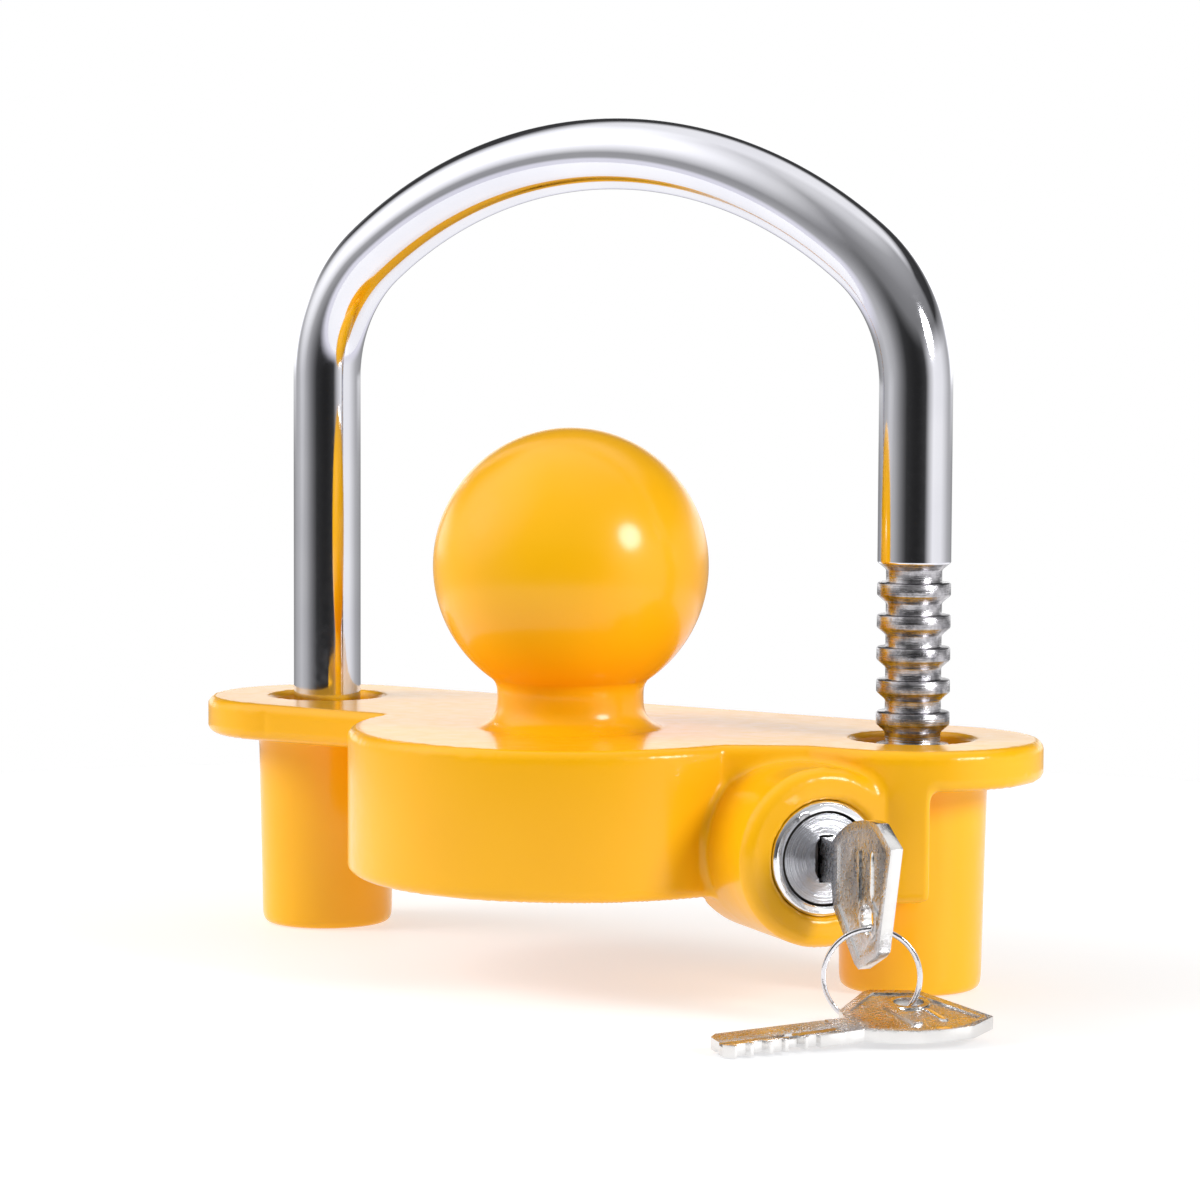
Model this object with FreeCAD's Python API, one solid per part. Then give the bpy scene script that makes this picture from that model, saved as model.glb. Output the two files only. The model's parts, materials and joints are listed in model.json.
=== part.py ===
"""Trailer coupler lock: a hitch ball on a two-post body, a ratchet shackle and a wafer key lock.

Millimetres, +Z up. The origin is the centre of the ball. The shackle's legs stand in a plane
parallel to XZ behind the ball, and the lock's face looks forwards and to the +X side.
"""
import FreeCAD, Part
import os
from math import cos, pi, radians, sin, sqrt

V = FreeCAD.Vector
UP = V(0, 0, 1)
BEYOND = 60.0                  # past every part, for cutting tools

# ---- ball, neck and plate
ball_diameter = 45.8
ball_height = 26.9             # ball centre above the plate's top
ball_offset_x = 5.1            # ball axis to the +X side of the middle between the legs
ball_offset_y = 18.6           # ball axis in front of the legs' plane
ball_core_radius = 9.4
ball_core_top = 13.0           # top of the core above the ball's centre
neck_radius = 12.2
neck_foot_radius = 15.5
neck_foot_height = 4.0
neck_curve = (0.22, 0.40)      # a point of the flare, as shares of its width and height
plate_thickness = 6.4
ear_radius = 21.3
edge_round = 0.8
bulge_radius = 37.0
bulge_depth = 24.2             # from the plate's top
block_back = 17.0              # latch block, behind the legs' plane
block_left = 18.5              # latch block's left side, where the bulge covers it
block_left_ends = 25.9
block_front_angle = -53.4      # end of its flush front wall, round the grooved leg from +X
block_wall = 2.0               # round the latch cover
bulge_wall = 3.6
hub_wall = 3.2                 # wall round the ball's core, inside the bulge
rib_thickness = 4.0
rib_angles = (90.0, 210.0, 270.0)
web_angle = -15.0              # where the web to the right ear leaves the bulge
web_run = 11.5                 # from the web's start to the ear's front edge, along X

# ---- posts
post_height = 40.9             # from the plate's top
post_radius_top = 12.4
post_radius_foot = 11.6
post_foot_round = 1.0
drain_radius = 2.0
recess_radius = 9.65
recess_depth = 3.0

# ---- shackle
bar_diameter = 12.0
leg_spacing = 119.3
leg_clearance = 0.4            # radial, in the posts
tip_gap = 0.4                  # under the legs, with the shackle fully down
shoulder_height = 57.2         # where the corners start, above the plate
corner_radius = 27.2
corner_sweep = 51.9            # degrees
plain_leg_height = 28.6        # lowest end of the plain bar on the grooved leg
neck_chamfer = 1.1
groove_pitch = 5.26
groove_count = 7
groove_core_radius = 4.55
flange_land = 2.1
first_land_drop = 3.2          # first flange below the plain bar
flange_chamfer = 1.2
tip_length = 2.2
tip_chamfer = 1.0
travel_pitches = 5             # downward travel of the shackle, in groove pitches

# ---- lock cylinder; its own frame has x towards the grooved leg, y up and z outwards, from the face
lock_azimuth = 55.0            # the lock's outward axis, from -Y towards +X
lock_drop = 16.5               # lock axis below the plate's top
leg_beside_lock = 23.2         # grooved leg's axis from the lock's axis, along x
leg_behind_face = 17.0
boss_radius = 14.3
boss_face_round = 1.6
boss_length = 24.0
bezel_radius = 9.15
bezel_chamfer = 0.5
barrel_length = 22.0
barrel_clearance = 0.06
plug_head_radius = 7.55
plug_head_length = 2.6
plug_radius = 6.0
plug_clearance = 0.06
plug_setback = 0.2             # plug face behind the bezel's face
plug_tail_radius = 3.6
tail_flat = 2.6                # half the width across the tail's flats
channel_width = 5.0
channel_depth = 1.3
keyway_recess = 0.5
keyway_width = 1.9             # half width of the oval recess
retainer_radius = 1.5
retainer_place = 9.0           # behind the face
retainer_bite = 1.2            # into the barrel
retainer_setback = 0.6         # below the boss's surface
retainer_end_gap = 0.1
channel_start = 1.0            # behind the plug's head
wafer_count = 5
wafer_pitch = 2.9
wafer_first = 4.6              # behind the face
wafer_thickness = 0.9
wafer_width = 7.0
wafer_gap = 0.06
wafer_setback = 0.08           # wafer ends below the plug's surface
wafer_notch = 1.1
wafer_spring_length = 2.4
wafer_spring_radius = 0.42
wafer_spring_wire = 0.12
wafer_spring_turns = 4
clip_thickness = 0.7
clip_radius = 5.4
clip_groove_radius = 3.0
clip_mouth_half = 2.4
clip_play = 0.1

# ---- cam, drive pin and bolt
cam_thickness = 2.4
cam_radius = 5.6
cam_screw_radius = 0.7
cam_screw_head_radius = 1.3
cam_screw_length = 3.0
cam_web = 0.7                  # left behind the tail's seat
seat_gap = 0.02                # tail and drive pin in the cam, endwise
drive_pin_radius = 0.9
bolt_travel = 3.3
plug_turn = 90.0               # degrees
pin_reach = 2.4                # drive pin behind the cam
running_gap = 0.2
bolt_thickness = 1.7
bolt_lift = 0.8                # bolt's nose above the lock's axis
nose_half_width = 3.5
nose_gap = 0.3                 # nose to groove core when thrown
bolt_arm_width = 2.2
bolt_arm_gap = 1.0             # bolt's arm to the barrel
bolt_back_depth = 3.0          # bolt's upright back, along z
bolt_back_half = 5.0
pocket_gap = 0.3
spring_room = 6.0              # rest length of the bolt spring
bolt_spring_radius = 1.5
bolt_spring_wire = 0.5
bolt_spring_turns = 6
spring_slack = 0.1
cover_thickness = 1.6
cover_margin = 4.4
cover_fit = 0.15
cover_post_gap = 0.6
screw_radius = 1.0
fixing_gap = 0.03              # round screws and pins in their holes
loose_gap = 0.1                # round screws where they pass through the cover
slot_half = 0.2                # screwdriver slots
slot_depth = 0.5
screw_head_radius = 1.9
screw_length = 5.0

# ---- keys and ring; a key's frame has u along the blade towards the bow, v up and w across
blade_length = 19.0            # behind the lock's face
blade_height = 7.0
blade_thickness = 1.9
blade_tip_chamfer = 1.3
blade_cuts = (0.8, 1.5, 0.6, 1.3, 0.9)
cut_width = 1.3
key_gap = 0.25                 # blade to keyway, each side
shoulder_gap = 0.5             # key's shoulder in front of the face
bow_thickness = 2.0
bow_panel_depth = 0.35
bow_rim = 1.5
bow_start = 3.8
bow_length = 24.8
bow_top = 8.0
bow_bottom = 15.2
bow_shoulder = (0.36, 0.80)    # a point of the bow's rounded back: shares of its length and height
bow_corners_above = ((0.80, 1.00), (1.00, 0.60))
bow_corners_below = ((0.84, 0.76), (0.79, 0.82), (0.56, 1.00), (0.50, 0.96))
bow_neck_inset = 0.3
bow_neck_run = 0.8
bow_neck_drop = 3.5            # below the blade's edge
bow_panel_start = 2.2          # from the bow's start
bow_rib_left = 4.5             # from the ring hole, towards the blade
bow_rib_width = 1.6
bow_rib_top = 3.2
bow_collar_width = 1.0
blade_groove_half = 0.6
blade_groove_rise = 1.4        # the far side's groove above the near side's
ring_hole_radius = 2.35
ring_hole_u = 16.5
ring_hole_v = -7.05
ring_radius = 7.4              # to the wire's centre
ring_wire_radius = 0.5
ring_azimuth = 24.0            # ring's normal from the lock's axis, towards -x
ring_play = 0.30               # wire above the lower edge of the key's hole
spare_station = 50.0           # spare key's place on the ring, from its lowest point
spare_turn = 25.0              # spare key's blade from the ring's plane, in plan
spare_tilt = 6.2               # spare key's blade side, downwards

# ---- places worked out from the values above
plate_top = -ball_height
plate_bottom = plate_top - plate_thickness
first_land = plain_leg_height - first_land_drop
tip_level = first_land - groove_count * groove_pitch + flange_chamfer - tip_length
bulge_bottom = plate_top - bulge_depth
foot_level = plate_top - post_height
leg_y = ball_offset_y
left_leg = V(-ball_offset_x - leg_spacing / 2, leg_y, 0)
right_leg = V(-ball_offset_x + leg_spacing / 2, leg_y, 0)
bar_radius = bar_diameter / 2
bore_radius = bar_radius + leg_clearance
bore_floor = plate_top + tip_level - travel_pitches * groove_pitch - tip_gap
lock_out = V(sin(radians(lock_azimuth)), -cos(radians(lock_azimuth)), 0)
lock_side = V(cos(radians(lock_azimuth)), sin(radians(lock_azimuth)), 0)
lock_face = (right_leg - lock_side * leg_beside_lock + lock_out * leg_behind_face
             + V(0, 0, plate_top - lock_drop))
lock_frame = FreeCAD.Placement(lock_face, FreeCAD.Rotation(lock_side, UP, lock_out, "ZXY"))
cam_front = -(barrel_length + clip_thickness + running_gap)
cam_back = cam_front - cam_thickness
bolt_front = cam_back - running_gap
bolt_back = bolt_front - bolt_back_depth
pin_offset = bolt_travel / 2 / sin(radians(plug_turn / 2))
cover_top = -(bulge_depth - lock_drop) + cover_thickness
bolt_floor = cover_top + running_gap
bolt_low = bolt_lift - bolt_thickness / 2
bolt_high = bolt_lift + bolt_thickness / 2
pocket_roof = cam_radius + pocket_gap
pocket_left = -bolt_back_half - spring_room
nose_tip = leg_beside_lock - groove_core_radius - nose_gap - bolt_travel
arm_left = bezel_radius + bolt_arm_gap
arm_right = arm_left + bolt_arm_width
nose_front = -leg_behind_face + nose_half_width
nose_back = -leg_behind_face - nose_half_width
pocket_right = arm_right + bolt_travel + pocket_gap
pocket_back = bolt_back - (nose_front - bolt_front) - pocket_gap


def cylinder(radius, height, base=V(0, 0, 0), axis=UP):
    return Part.makeCylinder(radius, height, base, axis)


def box(x0, x1, y0, y1, z0, z1):
    return Part.makeBox(x1 - x0, y1 - y0, z1 - z0, V(x0, y0, z0))


def prism(points, low, high):
    """A straight-sided plan outline raised from low to high."""
    corners = [V(x, y, low) for x, y in points]
    face = Part.Face(Part.makePolygon(corners + corners[:1]))
    return face.extrude(V(0, 0, high - low))


def revolve(profile, centre=V(0, 0, 0)):
    """A profile of (radius, height) points turned about a vertical axis."""
    corners = [V(r, 0, z) for r, z in profile]
    face = Part.Face(Part.makePolygon(corners + corners[:1]))
    return face.revolve(V(0, 0, 0), UP, 360).translated(centre)


def in_lock(shape):
    """Moves a shape from the lock's own frame to its place."""
    placed = shape.copy()
    placed.Placement = lock_frame.multiply(placed.Placement)
    return placed


def lock_cylinder(radius, z0, z1, x=0.0, y=0.0):
    return cylinder(radius, z1 - z0, V(x, y, z0))


def joined(first, others):
    return first.fuse(others).removeSplitter()


def round_edges(shape, radius, chosen):
    return shape.makeFillet(radius, [edge for edge in shape.Edges if chosen(edge)])


def helix_spring(radius, wire, length, turns):
    """A round-wire compression spring along +Z from the origin."""
    path = Part.makeHelix((length - 2 * wire) / turns, length - 2 * wire, radius - wire)
    path.translate(V(0, 0, wire))
    start = path.Edges[0].valueAt(path.Edges[0].FirstParameter)
    heading = path.Edges[0].tangentAt(path.Edges[0].FirstParameter)
    ring = Part.Wire([Part.makeCircle(wire, start, heading)])
    return Part.Wire(path.Edges).makePipeShell([ring], True, True)


# ---- the painted casting
def plan_outline(low, high):
    """Ears, straight front and back edges, bulge and web, as one slab."""
    height = high - low
    ears = [cylinder(ear_radius, height, leg + V(0, 0, low)) for leg in (left_leg, right_leg)]
    middle = box(left_leg.x, right_leg.x, leg_y - ear_radius, leg_y + ear_radius, low, high)
    bulge = cylinder(bulge_radius, height, V(0, 0, low))
    start_x = bulge_radius * cos(radians(web_angle))
    start_y = bulge_radius * sin(radians(web_angle))
    front = leg_y - ear_radius
    web = prism([(0, leg_y), (0, start_y), (start_x, start_y), (start_x + web_run, front),
                 (start_x + web_run, leg_y)], low, high)
    return joined(middle, ears + [bulge, web])


def plate():
    slab = plan_outline(plate_bottom, plate_top)
    return round_edges(slab, edge_round, lambda edge: edge.BoundBox.ZMin > plate_top - 0.01)


def ball_and_neck():
    foot = plate_top
    meet = -sqrt((ball_diameter / 2) ** 2 - neck_radius ** 2)
    flare = neck_foot_radius - neck_radius
    start = V(neck_foot_radius, 0, foot)
    middle = V(neck_radius + neck_curve[0] * flare, 0, foot + neck_curve[1] * neck_foot_height)
    end = V(neck_radius, 0, foot + neck_foot_height)
    edges = [Part.makeLine(V(0, 0, foot - 1), V(neck_foot_radius, 0, foot - 1)),
             Part.makeLine(V(neck_foot_radius, 0, foot - 1), start),
             Part.Arc(start, middle, end).toShape(),
             Part.makeLine(end, V(neck_radius, 0, meet + 1)),
             Part.makeLine(V(neck_radius, 0, meet + 1), V(0, 0, meet + 1)),
             Part.makeLine(V(0, 0, meet + 1), V(0, 0, foot - 1))]
    neck = Part.Face(Part.Wire(edges)).revolve(V(0, 0, 0), UP, 360)
    return [neck, Part.makeSphere(ball_diameter / 2)]


def post(leg):
    body = Part.makeCone(post_radius_foot, post_radius_top, plate_top - 1 - foot_level,
                         leg + V(0, 0, foot_level))
    return round_edges(body, post_foot_round, lambda edge: edge.BoundBox.ZMax < foot_level + 0.01)


def bulge():
    body = cylinder(bulge_radius, bulge_depth - 1, V(0, 0, bulge_bottom))
    return round_edges(body, edge_round, lambda edge: edge.BoundBox.ZMax < bulge_bottom + 0.01)


def latch_block():
    """The solid beside the boss that holds the latch pocket, flush with the plate's edge."""
    step = radians(block_front_angle)
    reach = 2 * ear_radius
    flush_end = right_leg + V(reach * cos(step), reach * sin(step), 0)
    back_y = leg_y + block_back
    region = prism([(right_leg.x, back_y), (right_leg.x, leg_y), (flush_end.x, flush_end.y),
                    (block_left_ends, -bulge_radius - ear_radius / 2), (block_left, 0),
                    (block_left_ends, back_y)], bulge_bottom, plate_bottom + 1)
    block = plan_outline(bulge_bottom, plate_bottom + 1).common(region)
    return block.Solids[0] if block.Solids else block


def boss():
    body = lock_cylinder(boss_radius, -boss_length, 0)
    body = round_edges(body, boss_face_round, lambda edge: edge.BoundBox.ZMin > -0.01)
    return in_lock(body)


def underside_hollow():
    """What the die cores out of the bulge, clear of the hub, the ribs and the latch block."""
    low = bulge_bottom - 1
    high = plate_bottom
    ring = cylinder(bulge_radius - bulge_wall, high - low, V(0, 0, low))
    keep = [cylinder(ball_core_radius + hub_wall, high - low, V(0, 0, low))]
    for angle in rib_angles:
        rib = box(0, bulge_radius, -rib_thickness / 2, rib_thickness / 2, low, high)
        keep.append(rib.rotate(V(0, 0, 0), UP, angle))
    wall = cover_margin + block_wall
    block = box(pocket_left - wall, BEYOND, -BEYOND, BEYOND, pocket_back - wall, BEYOND)
    keep.append(in_lock(block))
    return ring.cut(keep)


def ball_core():
    low = bulge_bottom - 1
    stem = cylinder(ball_core_radius, ball_core_top - ball_core_radius - low, V(0, 0, low))
    return [stem, Part.makeSphere(ball_core_radius, V(0, 0, ball_core_top - ball_core_radius))]


def leg_hole(leg):
    cut = cylinder(bore_radius, plate_top + 1 - bore_floor, leg + V(0, 0, bore_floor))
    recess = cylinder(recess_radius, recess_depth + 1, leg + V(0, 0, plate_top - recess_depth))
    drain = cylinder(drain_radius, bore_floor - foot_level + 2, leg + V(0, 0, foot_level - 1))
    return [cut, recess, drain]


def latch_pocket():
    """Room for the bolt, its spring and the cam, opening downwards into the cover's seat."""
    main = box(pocket_left, pocket_right, cover_top - 1, pocket_roof, pocket_back, cam_front + 0.1)
    low = bolt_low - pocket_gap
    high = bolt_high + pocket_gap
    arm = box(arm_left - pocket_gap, pocket_right, low, high, cam_front, nose_front + pocket_gap)
    window = box(arm_left, leg_beside_lock, low, high, nose_back - pocket_gap, nose_front + pocket_gap)
    return [in_lock(shape) for shape in (main, arm, window, cover_plate(cover_fit, 1.0))]


def body_casting():
    solid = joined(plate(), ball_and_neck() + [post(left_leg), post(right_leg), bulge(),
                                               latch_block(), boss()])
    cuts = leg_hole(left_leg) + leg_hole(right_leg) + ball_core() + latch_pocket()
    cuts.append(underside_hollow())
    cuts.append(in_lock(lock_cylinder(bezel_radius + barrel_clearance, cam_front, 1)))
    cuts.append(in_lock(retainer_hole()))
    cuts += [in_lock(hole) for hole in screw_shanks(screw_radius + fixing_gap)]
    return solid.cut(cuts)


# ---- latch cover and its screws
def cover_plate(grow=0.0, extra=0.0):
    """The cover's plate in the lock's frame; grow and extra make the seat that it lies in."""
    edge = cover_margin + grow
    slab = box(pocket_left - edge, pocket_right + edge, cover_top - cover_thickness - extra, cover_top,
               pocket_back - edge, cam_front + grow)
    around_post = cylinder(post_radius_top + cover_post_gap - grow, 4 * cover_thickness,
                           V(leg_beside_lock, cover_top - 2 * cover_thickness, -leg_behind_face), V(0, 1, 0))
    return slab.cut(around_post)


def screw_places():
    inset = cover_margin / 2
    return [(pocket_left - inset, pocket_back - inset), (pocket_right + inset, pocket_back - inset),
            (pocket_left - inset, cam_front - cover_margin / 2)]


def screw_shanks(radius):
    """Shanks of the cover's screws, upwards along the lock frame's y."""
    low = cover_top - cover_thickness
    return [cylinder(radius, screw_length, V(x, low, z), V(0, 1, 0)) for x, z in screw_places()]


def latch_cover():
    stop = box(pocket_left + spring_room + pocket_gap, arm_left - pocket_gap, cover_top,
               bolt_high, pocket_back + pocket_gap, bolt_back - running_gap)
    plate = cover_plate().fuse(stop).removeSplitter()
    low = cover_top - cover_thickness
    for x, z in screw_places():
        cone = Part.makeCone(screw_head_radius + loose_gap / 2, screw_radius + loose_gap,
                             screw_head_radius - screw_radius, V(x, low, z), V(0, 1, 0))
        hole = cylinder(screw_radius + loose_gap, cover_thickness, V(x, low, z), V(0, 1, 0))
        plate = plate.cut([cone, hole])
    return in_lock(plate)


def latch_cover_screws():
    """Countersunk screws; each has a cross slot in its head."""
    low = cover_top - cover_thickness
    screws = []
    for (x, z), shank in zip(screw_places(), screw_shanks(screw_radius)):
        head = Part.makeCone(screw_head_radius, screw_radius, screw_head_radius - screw_radius,
                             V(x, low, z), V(0, 1, 0))
        arm = screw_head_radius / 2
        drive = [box(x - arm, x + arm, low, low + slot_depth, z - slot_half, z + slot_half),
                 box(x - slot_half, x + slot_half, low, low + slot_depth, z - arm, z + arm)]
        screws.append(in_lock(head.fuse(shank).removeSplitter().cut(drive)))
    return Part.makeCompound(screws)


# ---- lock cylinder
def keyway(gap, z0, z1):
    half_width = blade_thickness / 2 + gap
    half_height = blade_height / 2 + gap
    return box(-half_width, half_width, -half_height, half_height, z0, z1)


def lock_cylinder_housing():
    barrel = lock_cylinder(bezel_radius, -barrel_length, 0)
    rim = [edge for edge in barrel.Edges if edge.BoundBox.ZMin > -0.01]
    barrel = barrel.makeChamfer(bezel_chamfer, rim)
    half = channel_width / 2
    reach = plug_radius + channel_depth
    cuts = [lock_cylinder(plug_head_radius + plug_clearance, -plug_head_length - plug_setback, 1),
            lock_cylinder(plug_radius + plug_clearance, -barrel_length - 1, 1),
            box(-half, half, -reach, reach, -barrel_length - 1, -plug_head_length - channel_start),
            cylinder(retainer_radius + fixing_gap, retainer_bite + 1,
                     V(0, -bezel_radius - 1, -retainer_place), V(0, 1, 0))]
    return in_lock(barrel.cut(cuts))


def retainer_hole():
    depth = boss_radius - bezel_radius + retainer_bite
    low = V(0, -boss_radius - 1, -retainer_place)
    return cylinder(retainer_radius + fixing_gap, depth + 1, low, V(0, 1, 0))


def cylinder_retaining_pin():
    """Drive pin from the boss's underside into the barrel, set a little below the paint."""
    low = -boss_radius + retainer_setback
    length = -bezel_radius + retainer_bite - retainer_end_gap - low
    return in_lock(cylinder(retainer_radius, length, V(0, low, -retainer_place), V(0, 1, 0)))


def wafer_place(index):
    return -wafer_first - index * wafer_pitch


def spring_side(index):
    """Every other wafer has its spring on the other side."""
    return 1 if index % 2 == 0 else -1


def plate_at(index, half_width, half_height, gap):
    thick = wafer_thickness / 2 + gap
    z = wafer_place(index)
    return box(-half_width, half_width, -half_height, half_height, z - thick, z + thick)


def spring_notch(index, low, high, inset, gap):
    """The notch in a wafer's side edge that its spring stands in."""
    z = wafer_place(index)
    thick = wafer_thickness / 2 + gap
    inner = wafer_width / 2 - wafer_notch + inset
    outer = wafer_width / 2 + 1
    side = spring_side(index)
    return box(min(side * inner, side * outer), max(side * inner, side * outer), low, high,
               z - thick, z + thick)


def wafer(index):
    disc = lock_cylinder(plug_radius - wafer_setback, -barrel_length, 0)
    body = plate_at(index, wafer_width / 2, plug_radius, 0).common(disc)
    window = keyway(2 * key_gap, -barrel_length, 0)
    notch = spring_notch(index, -plug_radius, 0, 0, 1)
    return in_lock(body.cut([window, notch]))


def wafers():
    return Part.makeCompound([wafer(index) for index in range(wafer_count)])


def wafer_slot(index):
    """A wafer's slot through the plug, with the ledge that carries the foot of its spring."""
    slot = plate_at(index, wafer_width / 2 + wafer_gap, plug_radius + 1, wafer_gap)
    foot = -wafer_spring_length - 2 * wafer_gap
    return slot.cut(spring_notch(index, -plug_radius - 2, foot, wafer_gap, 1))


def wafer_springs():
    springs = []
    for index in range(wafer_count):
        x = spring_side(index) * (wafer_width / 2 - wafer_notch / 2)
        spring = helix_spring(wafer_spring_radius, wafer_spring_wire, wafer_spring_length,
                              wafer_spring_turns)
        spring.rotate(V(0, 0, 0), V(1, 0, 0), 90)
        spring.translate(V(x, -wafer_gap, wafer_place(index)))
        springs.append(in_lock(spring))
    return Part.makeCompound(springs)


def lock_plug():
    tail_start = -barrel_length - running_gap / 2
    tail_end = cam_back + cam_web + seat_gap
    face = -plug_setback
    plug = lock_cylinder(plug_head_radius, face - plug_head_length, face)
    plug = joined(plug, [lock_cylinder(plug_radius, tail_start, face - plug_head_length),
                         lock_cylinder(plug_tail_radius, tail_end, tail_start)])
    oval_half = blade_height / 2 - keyway_width
    oval = [lock_cylinder(keyway_width, face - keyway_recess, 1, 0, y) for y in (-oval_half, oval_half)]
    oval.append(box(-keyway_width, keyway_width, -oval_half, oval_half, face - keyway_recess, 1))
    groove = lock_cylinder(plug_tail_radius + 1, tail_start - clip_thickness - clip_play, tail_start)
    cuts = [keyway(key_gap, -blade_length - 2 * key_gap, 1),
            groove.cut(lock_cylinder(clip_groove_radius, tail_end, 0)),
            lock_cylinder(cam_screw_radius, tail_end - 1, tail_start)]
    cuts += oval
    cuts += [wafer_slot(index) for index in range(wafer_count)]
    for x in (tail_flat, -tail_flat - BEYOND):
        cuts.append(box(x, x + BEYOND, -BEYOND, BEYOND, tail_end - 1, cam_front + clip_play))
    return in_lock(plug.cut(cuts))


def plug_retaining_clip():
    """A C clip in the groove of the plug's tail, behind the barrel."""
    back = -barrel_length - running_gap / 2 - clip_thickness - clip_play / 2
    clip = lock_cylinder(clip_radius, back, back + clip_thickness)
    bore = lock_cylinder(clip_groove_radius + fixing_gap, back - 1, back + 2)
    mouth = box(-clip_mouth_half, clip_mouth_half, -clip_radius - 1, 0, back - 1, back + 2)
    return in_lock(clip.cut([bore, mouth]))


# ---- cam, drive pin, screw, bolt and its spring
def pin_place():
    """The drive pin's centre at rest: half of the key's turn before the top."""
    half_turn = radians(plug_turn / 2)
    return -pin_offset * sin(half_turn), pin_offset * cos(half_turn)


def drive_cam():
    cam = lock_cylinder(cam_radius, cam_back, cam_front)
    floor = cam_back + cam_web
    flat = tail_flat + fixing_gap
    seat = lock_cylinder(plug_tail_radius + fixing_gap, floor, cam_front + 1)
    seat = seat.common(box(-flat, flat, -cam_radius, cam_radius, floor, cam_front + 1))
    x, y = pin_place()
    holes = [seat, lock_cylinder(cam_screw_radius + fixing_gap, cam_back - 1, cam_front + 1),
             cam_screw_head(fixing_gap), lock_cylinder(drive_pin_radius, cam_back - 1, floor, x, y)]
    return in_lock(cam.cut(holes))


def drive_pin():
    x, y = pin_place()
    return in_lock(lock_cylinder(drive_pin_radius, cam_back - pin_reach, cam_back + cam_web - seat_gap, x, y))


def cam_screw_head(grow):
    """Countersunk head, flush with the cam's back."""
    radius = cam_screw_head_radius + grow
    return Part.makeCone(radius, cam_screw_radius + grow, cam_web, V(0, 0, cam_back))


def cam_screw():
    shank = lock_cylinder(cam_screw_radius - seat_gap, cam_back, cam_back + cam_screw_length)
    slot = box(-cam_screw_head_radius, cam_screw_head_radius, -slot_half, slot_half, cam_back - 1,
               cam_back + cam_web / 2)
    return in_lock(joined(cam_screw_head(0), [shank]).cut(slot))


def lock_bolt():
    """Upright back with the cam's slot, an arm beside the barrel and a hollow-ended nose."""
    back = box(-bolt_back_half, arm_right, bolt_floor, bolt_back_half, bolt_back, bolt_front)
    arm = box(arm_left, arm_right, bolt_low, bolt_high, bolt_back, nose_front)
    nose = box(arm_left, nose_tip + nose_half_width, bolt_low, bolt_high, nose_back, nose_front)
    x, y = pin_place()
    half = drive_pin_radius + running_gap
    slot = box(x - half, x + half, y - half, pin_offset + half, bolt_back - 1, bolt_front + 1)
    hollow = cylinder(groove_core_radius + nose_gap, 4 * bolt_thickness,
                      V(leg_beside_lock - bolt_travel, bolt_low - bolt_thickness, -leg_behind_face),
                      V(0, 1, 0))
    return in_lock(joined(back, [arm, nose]).cut([slot, hollow]))


def bolt_spring():
    spring = helix_spring(bolt_spring_radius, bolt_spring_wire, spring_room - spring_slack, bolt_spring_turns)
    spring.rotate(V(0, 0, 0), V(0, 1, 0), 90)
    spring.translate(V(pocket_left + spring_slack / 2, 0, (bolt_front + bolt_back) / 2))
    return in_lock(spring)


# ---- shackle
def plain_bar():
    """The bent bar, down to the ends of its plain legs."""
    half = leg_spacing / 2
    sweep = radians(corner_sweep)
    turn_in = corner_radius * (1 - cos(sweep))
    rise = corner_radius * sin(sweep)
    top_x = half - turn_in
    crown_radius = top_x / sin(pi / 2 - sweep)
    crown_z = shoulder_height + rise - crown_radius * cos(pi / 2 - sweep)
    mid = sweep / 2
    mid_x = half - corner_radius * (1 - cos(mid))
    mid_z = shoulder_height + corner_radius * sin(mid)
    left = -half
    points = [V(left, 0, plain_leg_height), V(left, 0, shoulder_height), V(-mid_x, 0, mid_z),
              V(-top_x, 0, shoulder_height + rise), V(0, 0, crown_z + crown_radius),
              V(top_x, 0, shoulder_height + rise), V(mid_x, 0, mid_z), V(half, 0, shoulder_height),
              V(half, 0, plain_leg_height)]
    path = Part.Wire([Part.makeLine(points[0], points[1]),
                      Part.Arc(points[1], points[2], points[3]).toShape(),
                      Part.Arc(points[3], points[4], points[5]).toShape(),
                      Part.Arc(points[5], points[6], points[7]).toShape(),
                      Part.makeLine(points[7], points[8])])
    section = Part.Wire([Part.makeCircle(bar_radius, points[0], UP)])
    return path.makePipeShell([section], True, False)


def groove_profile():
    """Half outline of the ratchet leg, from the plain bar's end down to the tip."""
    top = plain_leg_height
    profile = [(0, top), (bar_radius, top), (groove_core_radius, top - neck_chamfer)]
    for index in range(groove_count):
        land = first_land - index * groove_pitch
        profile += [(groove_core_radius, land), (bar_radius, land), (bar_radius, land - flange_land),
                    (groove_core_radius, land - flange_land - flange_chamfer)]
    profile += [(groove_core_radius, tip_level + tip_chamfer), (groove_core_radius - tip_chamfer, tip_level),
                (0, tip_level)]
    return profile


def shackle():
    bar = plain_bar()
    half = leg_spacing / 2
    ratchet = revolve(groove_profile(), V(half, 0, 0))
    plain = cylinder(bar_radius, plain_leg_height - tip_level, V(-half, 0, tip_level))
    rim = [edge for edge in plain.Edges if edge.BoundBox.ZMax < tip_level + 0.01]
    plain = plain.makeChamfer(tip_chamfer, rim)
    return joined(bar, [ratchet, plain]).translated(V(-ball_offset_x, leg_y, plate_top))


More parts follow.
